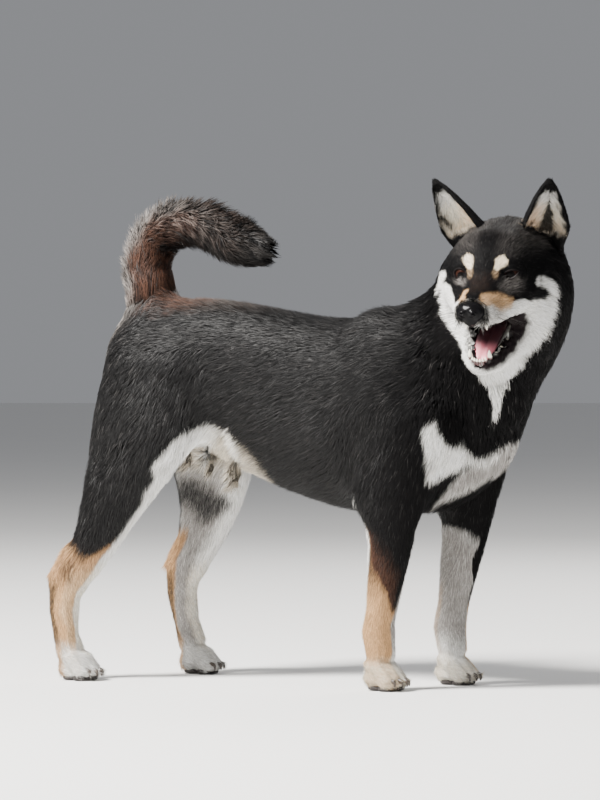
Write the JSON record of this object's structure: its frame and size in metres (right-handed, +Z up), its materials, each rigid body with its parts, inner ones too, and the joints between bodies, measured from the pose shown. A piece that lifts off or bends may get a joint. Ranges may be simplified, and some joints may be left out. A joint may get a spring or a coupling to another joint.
{
  "type": "shiba inu dog",
  "caption": "Life-size standing dog with pricked ears, open mouth, head turned to its right and tail curled over its back, in a black and tan coat.",
  "frame": {"origin": "on the ground, under the middle of the bounding box", "axes": "+X forwards along the hips and loin, +Y to the dog's left, +Z up"},
  "size_m": [0.5624, 0.249, 0.5048],
  "materials": {
    "black_coat": "short dense coat, black with a faint brown sheen",
    "tan_coat": "short coat, tan to cream",
    "white_coat": "short to medium coat, cream white",
    "nose_leather": "moist black leather of the nose",
    "eye": "wet, dark brown",
    "tongue": "moist pink",
    "tooth": "ivory",
    "claw": "dark horn"
  },
  "bodies": {
    "root": {"rump": "black_coat", "neck": "black_coat", "chest": "black_coat", "loin": "black_coat", "head": "black_coat", "jaw": "white_coat", "tongue": "tongue", "nose": "nose_leather", "eye_right": "eye", "eye_left": "eye", "ear_right": "black_coat", "ear_left": "black_coat", "tail_base": "black_coat", "tail_middle": "black_coat", "tail_tip": "black_coat", "upper_arm_right": "black_coat", "forearm_right": "black_coat", "thigh_right": "black_coat", "shank_right": "black_coat", "forefoot_right": "tan_coat", "hindfoot_right": "tan_coat", "upper_arm_left": "black_coat", "forearm_left": "black_coat", "thigh_left": "black_coat", "shank_left": "black_coat", "forefoot_left": "tan_coat", "hindfoot_left": "tan_coat"}
  },
  "joints": []
}
